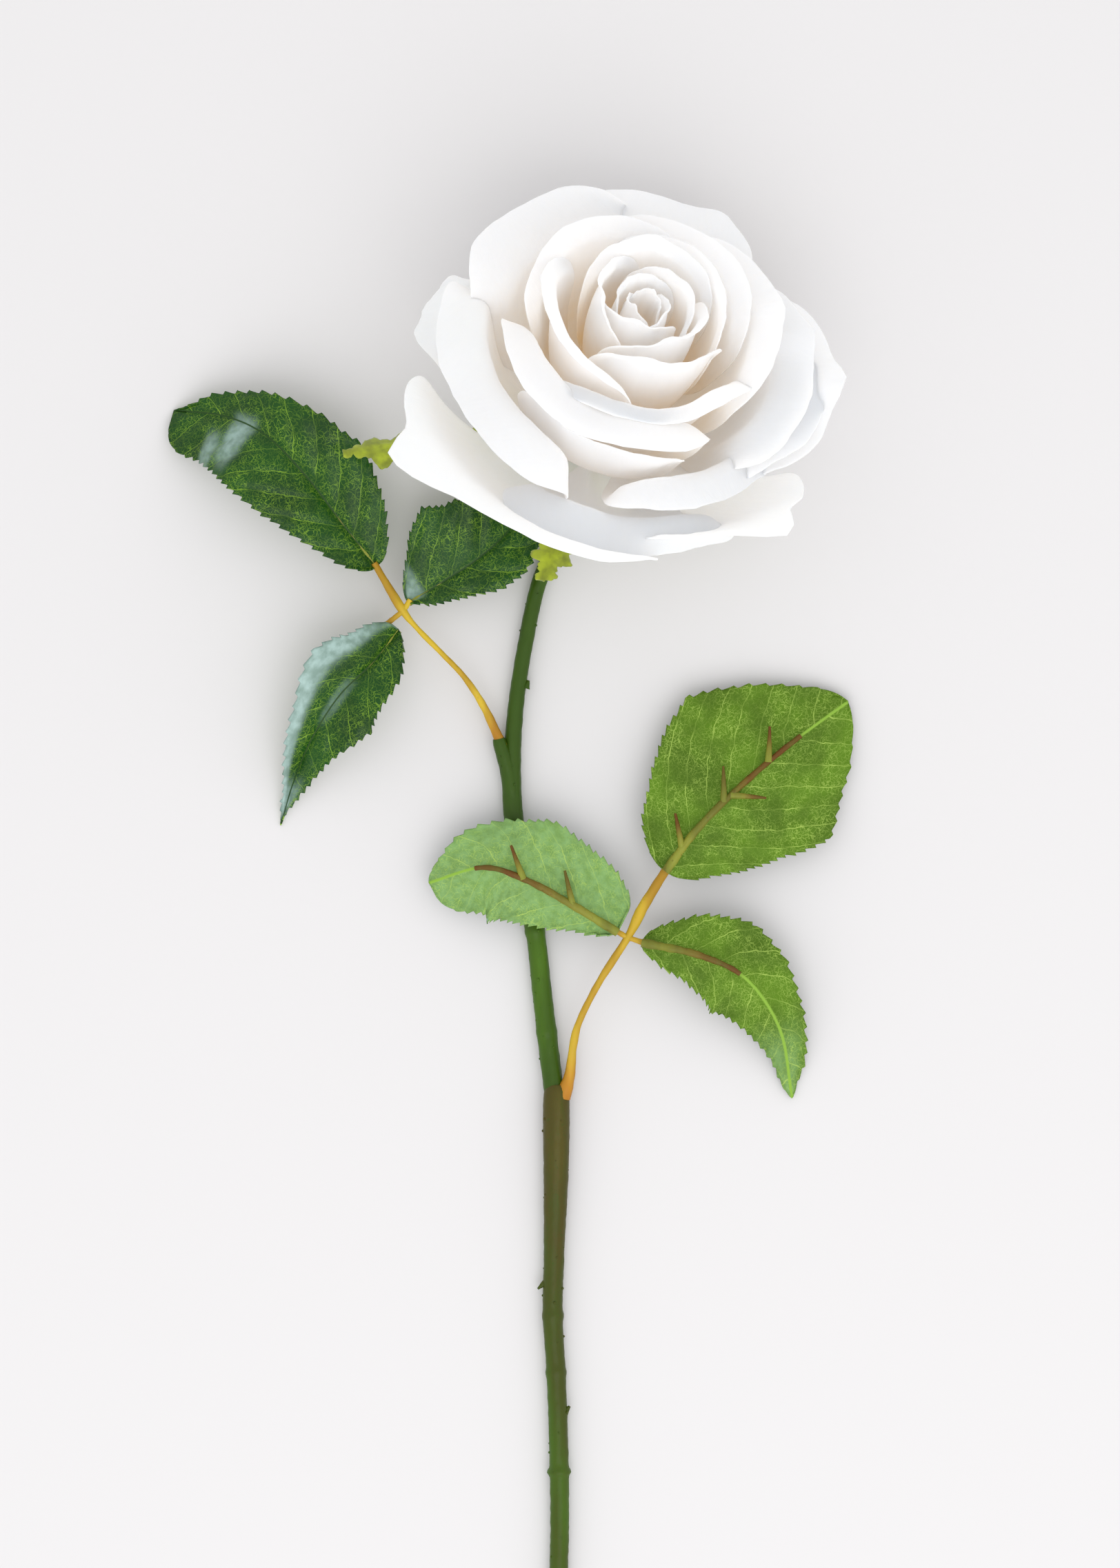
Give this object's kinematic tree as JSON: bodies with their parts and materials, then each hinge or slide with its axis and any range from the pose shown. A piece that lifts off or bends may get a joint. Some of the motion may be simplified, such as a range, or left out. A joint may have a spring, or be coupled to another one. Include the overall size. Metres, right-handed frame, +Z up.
{
  "type": "cut rose",
  "caption": "Single cut rose in silk and moulded plastic, lying on its side: a full white bloom of wrapped petals on a curved neck, with leaf sprigs along the stem.",
  "frame": {"origin": "on the surface that the rose lies on, under the middle of its box", "axes": "+Y along the stem from its cut end towards the flower, +Z up from the surface, +X to the right seen from above with the flower at the top"},
  "size_m": [0.1712, 0.3975, 0.0769],
  "materials": {
    "petal_silk": "white woven silk with a soft matte surface, cream towards the heart",
    "leaf_silk_face": "dark green coated silk with a satin sheen and printed yellow-green veins",
    "leaf_silk_back": "lighter green uncoated back of a silk leaf with pale veins",
    "stem_plastic": "moulded green plastic over a wire, slightly glossy, with small bumps",
    "stem_olive_plastic": "moulded plastic, olive with brown shading at its socket, green below",
    "calyx_plastic": "soft lime green moulded plastic",
    "stalk_plastic": "thin yellow moulded plastic with an orange tint at its foot",
    "rib_plastic": "olive to brown moulded plastic rib with short prongs"
  },
  "bodies": {
    "root": {"leaf_lower_end": "leaf_silk_back", "leaf_lower_left": "leaf_silk_back", "leaf_lower_right": "leaf_silk_back", "leaf_upper_end": "leaf_silk_face", "leaf_upper_left": "leaf_silk_face", "leaf_upper_right": "leaf_silk_face", "petal_heart_1": "petal_silk", "petal_heart_2": "petal_silk", "petal_heart_3": "petal_silk", "petal_heart_4": "petal_silk", "petal_heart_5": "petal_silk", "petal_heart_6": "petal_silk", "petal_heart_7": "petal_silk", "petal_heart_8": "petal_silk", "petal_heart_9": "petal_silk", "petal_inner_1": "petal_silk", "petal_inner_2": "petal_silk", "petal_inner_3": "petal_silk", "petal_inner_4": "petal_silk", "petal_inner_5": "petal_silk", "petal_middle_1": "petal_silk", "petal_middle_2": "petal_silk", "petal_middle_3": "petal_silk", "petal_middle_4": "petal_silk", "petal_middle_5": "petal_silk", "petal_middle_6": "petal_silk", "petal_middle_7": "petal_silk", "petal_outer_1": "petal_silk", "petal_outer_2": "petal_silk", "petal_outer_3": "petal_silk", "petal_outer_4": "petal_silk", "petal_outer_5": "petal_silk", "petal_outer_6": "petal_silk", "petal_outer_7": "petal_silk", "petal_outer_8": "petal_silk", "petal_outer_9": "petal_silk", "receptacle": "calyx_plastic", "rib_lower_end": "rib_plastic", "rib_lower_left": "rib_plastic", "rib_lower_right": "rib_plastic", "rib_upper_end": "rib_plastic", "rib_upper_left": "rib_plastic", "rib_upper_right": "rib_plastic", "sepal_1": "calyx_plastic", "sepal_2": "calyx_plastic", "sepal_3": "calyx_plastic", "sepal_4": "calyx_plastic", "sepal_5": "calyx_plastic", "stalk_lower": "stalk_plastic", "stalk_upper": "stalk_plastic", "stem_lower": "stem_olive_plastic", "stem_upper": "stem_plastic"}
  },
  "joints": []
}
